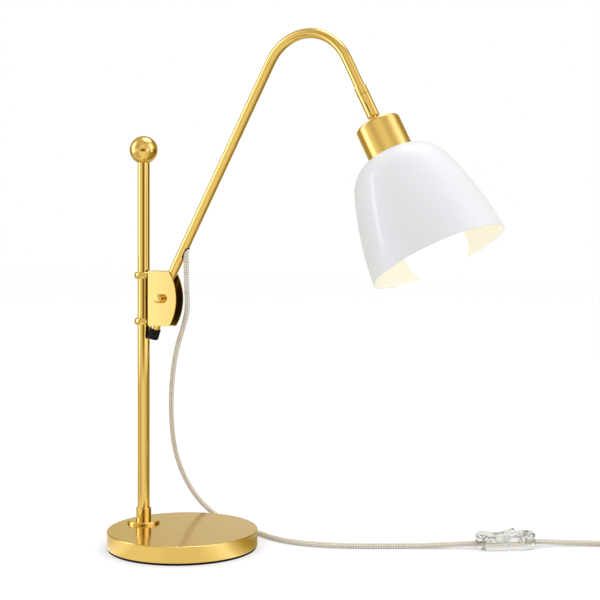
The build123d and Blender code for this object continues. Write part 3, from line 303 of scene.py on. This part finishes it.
def braid_material():
    """Braided textile: two crossing families of yarns on the cord's own map, U round it and V along it.

    Height = the larger of |sin(a)| and |sin(b)|, with a and b the two slanting phases. The yarns' tone follows
    that height, so the grooves between yarns are darker as painted shade, and adds sin(a) sin(b), which is light
    and dark by turns."""
    made, n, link, shader = new_material("braided_textile")
    shader.inputs["Roughness"].default_value = 0.85
    shader.inputs["Sheen Weight"].default_value = 0.3
    uv = n.new("ShaderNodeUVMap")
    uv.uv_map = "along"
    parts = n.new("ShaderNodeSeparateXYZ")
    link(uv.outputs["UV"], parts.inputs[0])

    def math_node(kind, a, b=None):
        node = n.new("ShaderNodeMath")
        node.operation = kind
        for i, value in enumerate((a, b)):
            if value is None:
                continue
            if isinstance(value, float):
                node.inputs[i].default_value = value
            else:
                link(value, node.inputs[i])
        return node.outputs[0]

    round_phase = math_node("MULTIPLY", parts.outputs["X"], YARNS_ROUND * 2.0 * math.pi)
    along_phase = math_node("MULTIPLY", parts.outputs["Y"], 2.0 * math.pi / YARN_PITCH)
    left = math_node("SINE", math_node("ADD", round_phase, along_phase))
    right = math_node("SINE", math_node("SUBTRACT", round_phase, along_phase))
    height = math_node("MAXIMUM", math_node("ABSOLUTE", left), math_node("ABSOLUTE", right))
    # The tone follows the yarns' height: painted shade in the grooves between them
    yarn_tone_with_groove_shade = math_node("ADD", height, math_node("MULTIPLY", left, right))
    flecks = n.new("ShaderNodeTexNoise")
    flecks.inputs["Scale"].default_value = 700.0
    flecks.inputs["Detail"].default_value = 2.0
    coords = n.new("ShaderNodeTexCoord")
    link(coords.outputs["Object"], flecks.inputs["Vector"])
    mask = math_node("MULTIPLY", yarn_tone_with_groove_shade, flecks.outputs["Fac"])
    spread = n.new("ShaderNodeMapRange")
    spread.inputs["From Min"].default_value = -0.1
    spread.inputs["From Max"].default_value = 0.9
    link(mask, spread.inputs["Value"])
    two_tones(n, link, spread.outputs["Result"], BRAID_DARK, BRAID_LIGHT, shader)
    bumped(n, link, height, shader, 0.6, 0.0004)
    return made


textile = braid_material()

FINISHES = {
    base_brass: ["base_cover"],
    upright_brass: [
        "rod", "rod_collar", "ball_finial", "upper_ring", "lower_ring", "pivot_pin", "pin_cap", "arm_tube",
        "pivot_barrel", "end_sleeve", "swivel_socket", "ball_stem",
    ],
    sheet_brass: ["bracket"],
    tinned_brass: ["switch_terminals"],
    satin_brass: ["holder_cup"],
    white_enamel: ["shade"],
    black_rubber: ["base_pad", "arm_foot", "cord_bushing"],
    cast_iron: ["base_weight"],
    plain_steel: [
        "rod_washer", "rod_nut", "rod_nipple", "finial_stud", "swivel_stud", "stud_nut", "holder_nipple",
        "centre_contact", "switch_screws", "plug_pins",
    ],
    bulb_metal: ["screw_shell", "bulb_cap"],
    slide_plastic: ["ring_liners", "friction_washer"],
    holder_plastic: ["lampholder", "shade_ring"],
    lit_glass: ["bulb_glass"],
    clear_plastic: [
        "switch_base", "switch_cover", "switch_rocker", "coil_tie", "plug_relief", "plug_body",
    ],
}
for finish, names in FINISHES.items():
    for name in names:
        nodes[name].data.materials.clear()
        nodes[name].data.materials.append(finish)


# Cords, in millimetres
CORD_STEP = 2.0
UP_Z = np.array([0.0, 0.0, 1.0])
ACROSS_Y = np.array([0.0, 1.0, 0.0])


def unit(vector):
    """The direction of a vector."""
    return vector / np.linalg.norm(vector)


def smooth_line(points, resolution=24):
    """Points of the smooth NURBS line that has the given control points, in millimetres."""
    curve = bpy.data.curves.new("route", "CURVE")
    curve.dimensions = "3D"
    curve.resolution_u = resolution
    spline = curve.splines.new("NURBS")
    spline.points.add(len(points) - 1)
    flat = np.column_stack([np.asarray(points, float), np.ones(len(points))])
    spline.points.foreach_set("co", flat.astype(np.float32).ravel())
    spline.order_u = 3
    spline.use_endpoint_u = True
    holder = bpy.data.objects.new("route", curve)
    bpy.context.scene.collection.objects.link(holder)
    bpy.context.view_layer.update()
    depsgraph = bpy.context.evaluated_depsgraph_get()
    mesh = bpy.data.meshes.new_from_object(holder.evaluated_get(depsgraph))
    line = np.zeros(len(mesh.vertices) * 3, np.float32)
    mesh.vertices.foreach_get("co", line)
    bpy.data.meshes.remove(mesh)
    bpy.data.objects.remove(holder)
    bpy.data.curves.remove(curve)
    return line.reshape(-1, 3).astype(float)


def arc_length(line):
    """Distance along a line at each of its points."""
    return np.concatenate([[0.0], np.cumsum(np.linalg.norm(np.diff(line, axis=0), axis=1))])


def even_line(line, step):
    """The same line with evenly spaced points, about a step apart."""
    along = arc_length(line)
    count = max(int(round(along[-1] / step)), 4) + 1
    at = np.linspace(0.0, along[-1], count)
    return np.column_stack([np.interp(at, along, line[:, k]) for k in range(3)])


def steady_frames(line, across):
    """Side and up at each point: side is square to the line and to a fixed direction across it."""
    tangent = np.gradient(line, axis=0)
    tangent /= np.linalg.norm(tangent, axis=1)[:, None]
    side = np.cross(tangent, across)
    side /= np.linalg.norm(side, axis=1)[:, None]
    return side, np.cross(tangent, side)


def grid_quads(rows, columns):
    """The point numbers of a grid, and its quads."""
    index = np.arange(rows * columns).reshape(rows, columns)
    corners = [index[:-1, :-1], index[:-1, 1:], index[1:, 1:], index[1:, :-1]]
    return index, np.stack(corners, axis=-1).reshape(-1, 4)


def put_mesh(name, vertices, faces, finish, uv=None):
    """A smooth mesh object at the origin, from points in millimetres."""
    mesh = bpy.data.meshes.new(name)
    mesh.from_pydata((np.asarray(vertices) * MM).tolist(), [], faces)
    mesh.polygons.foreach_set("use_smooth", np.ones(len(mesh.polygons), bool))
    if uv is not None:
        layer = mesh.uv_layers.new(name="along")
        loops = np.zeros(len(mesh.loops), int)
        mesh.loops.foreach_get("vertex_index", loops)
        layer.data.foreach_set("uv", np.asarray(uv)[loops].astype(np.float32).ravel())
    mesh.materials.append(finish)
    mesh.update()
    made = bpy.data.objects.new(name, mesh)
    bpy.context.scene.collection.objects.link(made)
    return made


def round_tube(name, line, radius, finish, across, start_at=0.0, sides=20):
    """Round tube: P(u, v) = line(v) + radius (cos u side(v) + sin u up(v)), closed by flat caps.

    The map runs once round in U and along the line in millimetres in V."""
    side, up = steady_frames(line, across)
    turn = np.linspace(0.0, 2 * math.pi, sides + 1)
    ring = np.cos(turn)[None, :, None] * side[:, None, :] + np.sin(turn)[None, :, None] * up[:, None, :]
    grid = line[:, None, :] + radius * ring
    index, quads = grid_quads(*grid.shape[:2])
    faces = quads[:, ::-1].tolist()
    faces.append(index[0, :-1].tolist())
    faces.append(index[-1, :-1][::-1].tolist())
    around = turn[None, :] / (2 * math.pi)
    along = start_at + arc_length(line)[:, None]
    uv = np.stack(np.broadcast_arrays(around, along), axis=-1).reshape(-1, 2)
    return put_mesh(name, grid.reshape(-1, 3), faces, finish, uv)


# Route of the cord from the arm to the switch: the solids' own points
HANG_ROUTE = [
    EXIT_END,
    EXIT_END - 23.0 * UP_Z,
    (2.2, 6.6, 251.0),
    (-10.5, 15.5, 231.0),
    (-30.0, 26.5, 203.0),
    (-49.0, 41.5, 161.0),
    (-60.5, 56.0, 117.0),
    (-64.5, 68.0, 82.0),
    (-58.0, 78.0, 51.0),
    (-42.0, 85.5, 26.0),
    (-15.0, 89.0, 9.5),
    (15.0, 88.5, 3.3),
    (40.0, 83.5, 2.8),
]
FLOOR_ROUTE = [
    (61.0, 75.0, 2.8),
    (85.0, 70.8, 2.8),
    (112.0, 73.6, 2.8),
    (141.0, 85.2, 2.8),
    (168.5, 101.3, 2.8),
    (193.7, 118.6, 2.8),
    (217.5, 134.5, 3.0),
    (237.5, 147.3, 4.2),
]
SWITCH_IN = SWITCH - SWITCH_HALF * SWITCH_DIR + SWITCH_CORD_Z * UP_Z
SWITCH_NEAR = SWITCH_IN - SWITCH_STRAIGHT * SWITCH_DIR
SWITCH_OUT = SWITCH + SWITCH_HALF * SWITCH_DIR + SWITCH_CORD_Z * UP_Z
SWITCH_PAST = SWITCH_OUT + SWITCH_STRAIGHT * SWITCH_DIR
switch_route = [np.asarray(p, float) for p in HANG_ROUTE + FLOOR_ROUTE] + [SWITCH_NEAR, SWITCH_IN]
to_switch = even_line(smooth_line(switch_route), CORD_STEP)
to_switch_along = arc_length(to_switch)

# Heights where the hanging cord is cut, because it bends with another joint from there, the height where the
# lowest bend ends, and where the cord lies flat
FIRST_CUT_Z = 267.0
SECOND_CUT_Z = 219.0
LANDING_X = 50.5
first_cut = int(np.argmax(to_switch[:, 2] < FIRST_CUT_Z))
second_cut = int(np.argmax(to_switch[:, 2] < SECOND_CUT_Z))
landing = len(to_switch) - 1 - int(np.argmax(to_switch[::-1, 0] < LANDING_X))


def stretch_of_cord(name, first, last):
    """One stretch of the cord between two of its points."""
    return round_tube(name, to_switch[first : last + 1], CORD_R, textile, ACROSS_Y, to_switch_along[first])


cord_from_arm = stretch_of_cord("cord_from_arm", 0, first_cut)
cord_past_bracket = stretch_of_cord("cord_past_bracket", first_cut, second_cut)
cord_to_table = stretch_of_cord("cord_to_table", second_cut, landing)
cord_on_table = stretch_of_cord("cord_on_table", landing, len(to_switch) - 1)

# Coil: spirals in, climbs a layer in the half turn where it reverses, and spirals out again
COIL = np.array([422.0, 229.0])
COIL_OUTER_R = 38.5
COIL_PITCH = 6.1
COIL_START = math.radians(118.0)
COIL_TURNS = 5
COIL_TURNED = COIL_START + 2 * COIL_TURNS * math.pi
COIL_TIE_T = 0.8
COIL_CLEAR = 0.25
COIL_LOW_Z = COIL_TIE_T + COIL_CLEAR + CORD_R
COIL_POINTS = 130
COIL_NUDGE = 0.01
COIL_RUN_IN = 5.5
COIL_RUN_OUT = 24.0
LEAD_STRAIGHT = 11.0


def coil_points(turned):
    """Points of the coil after each turn in radians.

    The radius falls by a pitch a turn to the middle and grows again."""
    spun = np.minimum(turned, COIL_TURNED - turned)
    radius = COIL_OUTER_R - COIL_PITCH * spun / (2 * math.pi)
    climb = np.clip((turned - COIL_TURNED / 2 + math.pi / 2) / math.pi, 0.0, 1.0)
    angle = COIL_START - turned
    height = COIL_LOW_Z + COIL_PITCH * climb**2 * (3 - 2 * climb)
    return np.column_stack([COIL[0] + radius * np.cos(angle), COIL[1] + radius * np.sin(angle), height])


coil_line = coil_points(np.linspace(0.0, COIL_TURNED, COIL_POINTS))
coil_start_dir = unit(coil_points(np.array([COIL_NUDGE]))[0] - coil_line[0])
coil_end_dir = unit(coil_line[-1] - coil_points(np.array([COIL_TURNED - COIL_NUDGE]))[0])
coil_in = coil_line[0] - COIL_RUN_IN * coil_start_dir
coil_out = coil_line[-1] + COIL_RUN_OUT * coil_end_dir
LEAD_ROUTE = [SWITCH_OUT, SWITCH_PAST, (327.0, 219.5, 4.1), (349.0, 234.0, 3.3), (371.5, 246.2, 3.2)]
plug_route = np.vstack(
    [
        LEAD_ROUTE,
        [coil_in - LEAD_STRAIGHT * coil_start_dir, coil_in],
        coil_line,
        [coil_out - COIL_RUN_OUT / 2 * coil_end_dir, coil_out],
    ]
)
lead_line = even_line(smooth_line(plug_route, resolution=8), CORD_STEP)
cord_to_plug = round_tube("cord_to_plug", lead_line, CORD_R, textile, UP_Z, sides=16)

# Cord inside the arm, down to where it hangs, with the places of its points past the bend and near the exit
ARCH_PAST = 4.0
EXIT_FAR = 60.0
EXIT_NEAR = 10.0
EXIT_BELOW = np.array([0.0, 0.0, 9.0])
arch_run = ARCH_BEND_R / math.tan((RISE + FALL) / 2)
arch_centre = ARCH_CORNER - arch_run * RISE_DIR + ARCH_BEND_R * UNDER_DIR
ARCH_STEPS = 7
arch_step = (math.pi - RISE - FALL) / ARCH_STEPS
arch_turned = arch_step * (np.arange(ARCH_STEPS) + 0.5)
arch_points = arch_centre + ARCH_BEND_R / math.cos(arch_step / 2) * (
    np.outer(np.sin(arch_turned), RISE_DIR) - np.outer(np.cos(arch_turned), UNDER_DIR)
)
arm_route = np.vstack(
    [
        [SEAM],
        [ARCH_CORNER + (arch_run + ARCH_PAST) * HEAD_DIR],
        arch_points[::-1],
        [ARCH_CORNER - (arch_run + ARCH_PAST) * RISE_DIR],
        [EXIT_CORNER + EXIT_FAR * RISE_DIR],
        [EXIT_CORNER + EXIT_NEAR * RISE_DIR],
        [EXIT_CORNER],
        [EXIT_CORNER - EXIT_BELOW],
        [EXIT_END],
    ]
)
arm_line = even_line(smooth_line(arm_route, resolution=12), CORD_STEP)
cord_in_arm = round_tube("cord_in_arm", arm_line, CORD_R, textile, ACROSS_Y, sides=16)
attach(cord_in_arm, "arm")
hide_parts("inner_cord")

for piece in (cord_from_arm, cord_past_bracket, cord_to_table):
    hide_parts("cord_drop")
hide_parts("cord_floor")
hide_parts("cord_lead", "cord_coil")


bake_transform(cord_from_arm)
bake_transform(cord_past_bracket)
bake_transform(cord_to_table)
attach(cord_on_table, "stand")
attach(cord_to_plug, "stand")


# Studio: the floor's half width in millimetres, its tones and its glow, which contact shade dims within a reach in
# metres, and the surroundings' level as light and as what is seen
FLOOR_HALF = 6000.0
PAPER_TONE = 0.92
DIM_PAPER_TONE = 0.2
CONTACT_REACH = 0.022
CONTACT_GLOW = 0.40
OPEN_GLOW = 0.87
SET_LEVEL = 0.62
SEEN_LEVEL = 1.0


def empty_material(name):
    """A node material with only its output: (material, nodes, link, output)."""
    made = bpy.data.materials.new(name)
    made.use_nodes = True
    n, link = made.node_tree.nodes, made.node_tree.links.new
    n.clear()
    return made, n, link, n.new("ShaderNodeOutputMaterial")


def seen_or_mirrored(n, link):
    """1 for a ray from the camera, a mirrored ray or one through clear plastic, else 0."""
    path = n.new("ShaderNodeLightPath")
    first, second = n.new("ShaderNodeMath"), n.new("ShaderNodeMath")
    first.operation = second.operation = "MAXIMUM"
    link(path.outputs["Is Camera Ray"], first.inputs[0])
    link(path.outputs["Is Glossy Ray"], first.inputs[1])
    link(first.outputs[0], second.inputs[0])
    link(path.outputs["Is Transmission Ray"], second.inputs[1])
    return second.outputs[0]


def studio_floor():
    """A pale paper floor that glows where it is seen or mirrored, so it stays white round a faint shadow.

    Close under a piece the glow is shaded off, except through clear plastic."""
    made, n, link, out = empty_material("floor_paper")
    paper = n.new("ShaderNodeBsdfDiffuse")
    paper.inputs["Color"].default_value = (*grey(PAPER_TONE), 1.0)
    dim_paper = n.new("ShaderNodeBsdfDiffuse")
    dim_paper.inputs["Color"].default_value = (*grey(DIM_PAPER_TONE), 1.0)
    contact = n.new("ShaderNodeAmbientOcclusion")
    contact.samples = 8
    contact.inputs["Distance"].default_value = CONTACT_REACH
    through = n.new("ShaderNodeLightPath")
    open_floor = n.new("ShaderNodeMath")
    open_floor.operation = "MAXIMUM"
    link(contact.outputs["AO"], open_floor.inputs[0])
    link(through.outputs["Is Transmission Ray"], open_floor.inputs[1])
    level = n.new("ShaderNodeMapRange")
    level.inputs["To Min"].default_value = CONTACT_GLOW
    level.inputs["To Max"].default_value = OPEN_GLOW
    link(open_floor.outputs[0], level.inputs["Value"])
    glow = n.new("ShaderNodeEmission")
    link(level.outputs["Result"], glow.inputs["Strength"])
    add = n.new("ShaderNodeAddShader")
    link(dim_paper.outputs[0], add.inputs[0])
    link(glow.outputs[0], add.inputs[1])
    choice = n.new("ShaderNodeMixShader")
    link(seen_or_mirrored(n, link), choice.inputs["Fac"])
    link(paper.outputs[0], choice.inputs[1])
    link(add.outputs[0], choice.inputs[2])
    link(choice.outputs[0], out.inputs["Surface"])
    corners = FLOOR_HALF * np.array([(-1.0, -1.0, 0.0), (1.0, -1.0, 0.0), (1.0, 1.0, 0.0), (-1.0, 1.0, 0.0)])
    floor = put_mesh("floor", corners, [[0, 1, 2, 3]], made)


def studio_world():
    """White surroundings for what is seen or mirrored, and a softer level for the light they give."""
    world = bpy.data.worlds.new("studio")
    bpy.context.scene.world = world
    world.use_nodes = True
    n, link = world.node_tree.nodes, world.node_tree.links.new
    back = n["Background"]
    level = n.new("ShaderNodeMapRange")
    level.inputs["To Min"].default_value = SET_LEVEL
    level.inputs["To Max"].default_value = SEEN_LEVEL
    link(seen_or_mirrored(n, link), level.inputs["Value"])
    link(level.outputs["Result"], back.inputs["Strength"])
    back.inputs["Color"].default_value = (1.0, 1.0, 1.0, 1.0)


CAMERA_TURN = math.radians(33.49)
FORWARD = np.array([-math.sin(CAMERA_TURN), math.cos(CAMERA_TURN), 0.0])
RIGHT = np.array([math.cos(CAMERA_TURN), math.sin(CAMERA_TURN), 0.0])
LAMP_MIDDLE = np.array([0.11, 0.0, 0.27])


def soft_light(name, right, back, up, size, power, mirrored=False):
    """A soft box, placed from the lamp's middle in the camera's directions and aimed at it.

    It either lights the set or is only mirrored, as a highlight."""
    place = LAMP_MIDDLE + right * RIGHT + back * FORWARD + up * UP_Z
    data = bpy.data.lights.new(name, "AREA")
    data.shape = "RECTANGLE"
    data.size, data.size_y = size
    data.energy = power
    made = bpy.data.objects.new(name, data)
    made.location = place
    aim = LAMP_MIDDLE - place
    made.rotation_euler = (
        math.acos(-aim[2] / np.linalg.norm(aim)),
        0.0,
        math.atan2(aim[1], aim[0]) - math.pi / 2,
    )
    made.visible_glossy = mirrored
    made.visible_diffuse = not mirrored
    bpy.context.scene.collection.objects.link(made)


# Tones that mirrored surfaces see round the set, by turn in degrees from the camera's direction, right
# positive: on the floor close to the base, on the floor further out, on the low walls and on the high walls
NEAR_FLOOR_TONES = {
    -180: 0.80, -93: 0.87, -79: 1.16, -64: 1.30, -50: 1.07, -21: 1.08, -7: 1.00, 21: 1.00, 36: 1.18,
    50: 1.40, 64: 0.86, 79: 0.53, 93: 0.43, 180: 0.80,
}
MID_FLOOR_TONES = {
    -180: 0.78, -150: 0.60, -136: 0.50, -110: 0.85, -84: 0.90, -63: 0.68, -44: 0.85, -26: 1.12, -10: 1.14,
    8: 1.10, 24: 1.00, 40: 0.88, 54: 0.80, 68: 0.62, 80: 0.45, 97: 0.34, 125: 0.40, 150: 0.78, 180: 0.78,
}
LOW_WALL_TONES = {
    -180: 0.78, -150: 0.60, -136: 0.42, -125: 0.40, -113: 0.50, -105: 1.20, -96: 2.20, -79: 2.00, -71: 1.20,
    -61: 1.10, -42: 1.02, -24: 0.76, -12: 0.40, -6: 0.22, 6: 0.24, 14: 0.42, 22: 0.75, 33: 1.40, 46: 1.55,
    65: 1.60, 80: 1.40, 88: 0.75, 97: 0.30, 128: 0.18, 145: 0.70, 180: 0.78,
}
HIGH_WALL_TONES = {
    -180: 0.50, -160: 0.50, -130: 0.55, -113: 1.10, -98: 2.30, -84: 1.50, -66: 0.80, -50: 0.62, -36: 0.76,
    -20: 0.98, -4: 1.10, 12: 0.98, 28: 0.82, 44: 0.95, 62: 1.60, 76: 1.90, 90: 1.55, 104: 0.80, 120: 0.48,
    140: 0.42, 160: 0.50, 180: 0.50,
}
CEILING_TONE = 0.76
# A bright patch of the ceiling, behind the lamp and right of it: its place, tone, and inner and outer radius
PATCH_RIGHT, PATCH_BACK = 0.50, 0.42
PATCH_TONE = 3.0
PATCH_RADII = (0.40, 1.00)
# Dark tones are warm and bright ones a little cool
TINT_TONES = [0.20, 0.35, 0.55, 0.68, 0.78, 1.00, 1.15, 1.30, 1.80]
TINT_GREENS = [0.68, 0.82, 0.86, 0.90, 0.96, 0.98, 1.00, 1.05, 1.06]
TINT_BLUES = [0.12, 0.28, 0.34, 0.50, 0.85, 0.88, 0.95, 1.20, 1.40]
# The surround's profile: radius and height in metres, from the floor near the lamp to the ceiling's middle
SURROUND_RADII = [0.079, 0.15, 0.3, 0.8, 1.2, 1.5, 1.75, 1.88, 1.9, 1.9, 1.85, 1.6, 1.1, 0.5, 0.0]
SURROUND_HEIGHTS = [0.001, 0.001, 0.001, 0.001, 0.001, 0.02, 0.12, 0.35, 0.6, 1.0, 1.4, 1.8, 2.1, 2.2, 2.22]
SURROUND_ROWS = 85
SURROUND_COLUMNS = 361
# Where one tone passes into the next: by radius, by radius and height together, and by height twice
NEAR_TO_MID = (0.15, 0.3)
MID_TO_LOW = (1.25, 1.8)
LOW_TO_HIGH = (0.45, 1.0)
HIGH_TO_CEILING = (1.6, 2.15)


def eased(value, low, high):
    """Smooth step from 0 at low to 1 at high: 3 t^2 - 2 t^3."""
    t = np.clip((value - low) / (high - low), 0.0, 1.0)
    return t * t * (3.0 - 2.0 * t)


def mirrored_surround():
    """A bowl with a ceiling round the set, seen only in mirrored surfaces.

    P(u, v) = radius(v) (right sin u - forward cos u) + height(v) up. Its tone goes from the near floor's to
    the further floor's, the low walls', the high walls' and the ceiling's as radius and height grow."""
    turn = np.linspace(-math.pi, math.pi, SURROUND_COLUMNS)
    row = np.linspace(0.0, len(SURROUND_RADII) - 1.0, SURROUND_ROWS)
    radius = np.interp(row, np.arange(len(SURROUND_RADII)), SURROUND_RADII)[:, None]
    height = np.interp(row, np.arange(len(SURROUND_HEIGHTS)), SURROUND_HEIGHTS)[:, None]
    out = np.sin(turn)[:, None] * RIGHT - np.cos(turn)[:, None] * FORWARD
    grid = radius[..., None] * out[None] + height[..., None] * UP_Z
    near, mid, low, high = (
        np.interp(np.degrees(turn), list(tones), list(tones.values()))[None, :]
        for tones in (NEAR_FLOOR_TONES, MID_FLOOR_TONES, LOW_WALL_TONES, HIGH_WALL_TONES)
    )
    from_patch = np.linalg.norm((grid - PATCH_RIGHT * RIGHT - PATCH_BACK * FORWARD)[..., :2], axis=-1)
    ceiling = PATCH_TONE + (CEILING_TONE - PATCH_TONE) * eased(from_patch, *PATCH_RADII)
    tone = near + (mid - near) * eased(radius, *NEAR_TO_MID)
    tone = tone + (low - tone) * eased(radius + height, *MID_TO_LOW)
    tone = tone + (high - tone) * eased(height, *LOW_TO_HIGH)
    tone = tone + (ceiling - tone) * eased(height, *HIGH_TO_CEILING)
    green = np.interp(tone, TINT_TONES, TINT_GREENS)
    blue = np.interp(tone, TINT_TONES, TINT_BLUES)
    shown = np.stack([tone, tone * green, tone * blue, np.ones_like(tone)], axis=-1)
    made, n, link, surface = empty_material("mirrored_surround")
    level = n.new("ShaderNodeAttribute")
    level.attribute_name = "tone"
    glow = n.new("ShaderNodeEmission")
    link(level.outputs["Color"], glow.inputs["Color"])
    link(glow.outputs[0], surface.inputs["Surface"])
    _, quads = grid_quads(*grid.shape[:2])
    wall = put_mesh("mirrored_surround", grid.reshape(-1, 3) / MM, quads.tolist(), made)
    layer = wall.data.attributes.new("tone", "FLOAT_COLOR", "POINT")
    layer.data.foreach_set("color", shown.astype(np.float32).ravel())
    wall.visible_camera = False
    wall.visible_diffuse = False
    wall.visible_shadow = False
    wall.visible_transmission = False


studio_floor()
studio_world()
mirrored_surround()
soft_light("front_left", -1.8, -1.0, 0.7, (1.4, 1.4), 8.0)
soft_light("front_right", 2.0, -0.4, 0.7, (1.4, 1.4), 11.5)
soft_light("top", 0.2, 0.1, 2.0, (1.6, 1.6), 20.0)
soft_light("strip_left", -1.52, 0.08, 0.52, (0.18, 1.1), 2.6, True)

CAMERA_PLACE = (0.8652, -1.0839, 0.34035)
CAMERA_LENS = 78.875
CAMERA_SENSOR = 36.0
CAMERA_SHIFT = -0.12882
camera_data = bpy.data.cameras.new("camera")
camera_data.lens = CAMERA_LENS
camera_data.sensor_width = CAMERA_SENSOR
camera_data.shift_y = CAMERA_SHIFT
camera = bpy.data.objects.new("camera", camera_data)
camera.location = CAMERA_PLACE
camera.rotation_euler = (math.pi / 2, 0.0, CAMERA_TURN)
bpy.context.scene.collection.objects.link(camera)
bpy.context.scene.camera = camera
bpy.context.scene.view_settings.view_transform = "Standard"
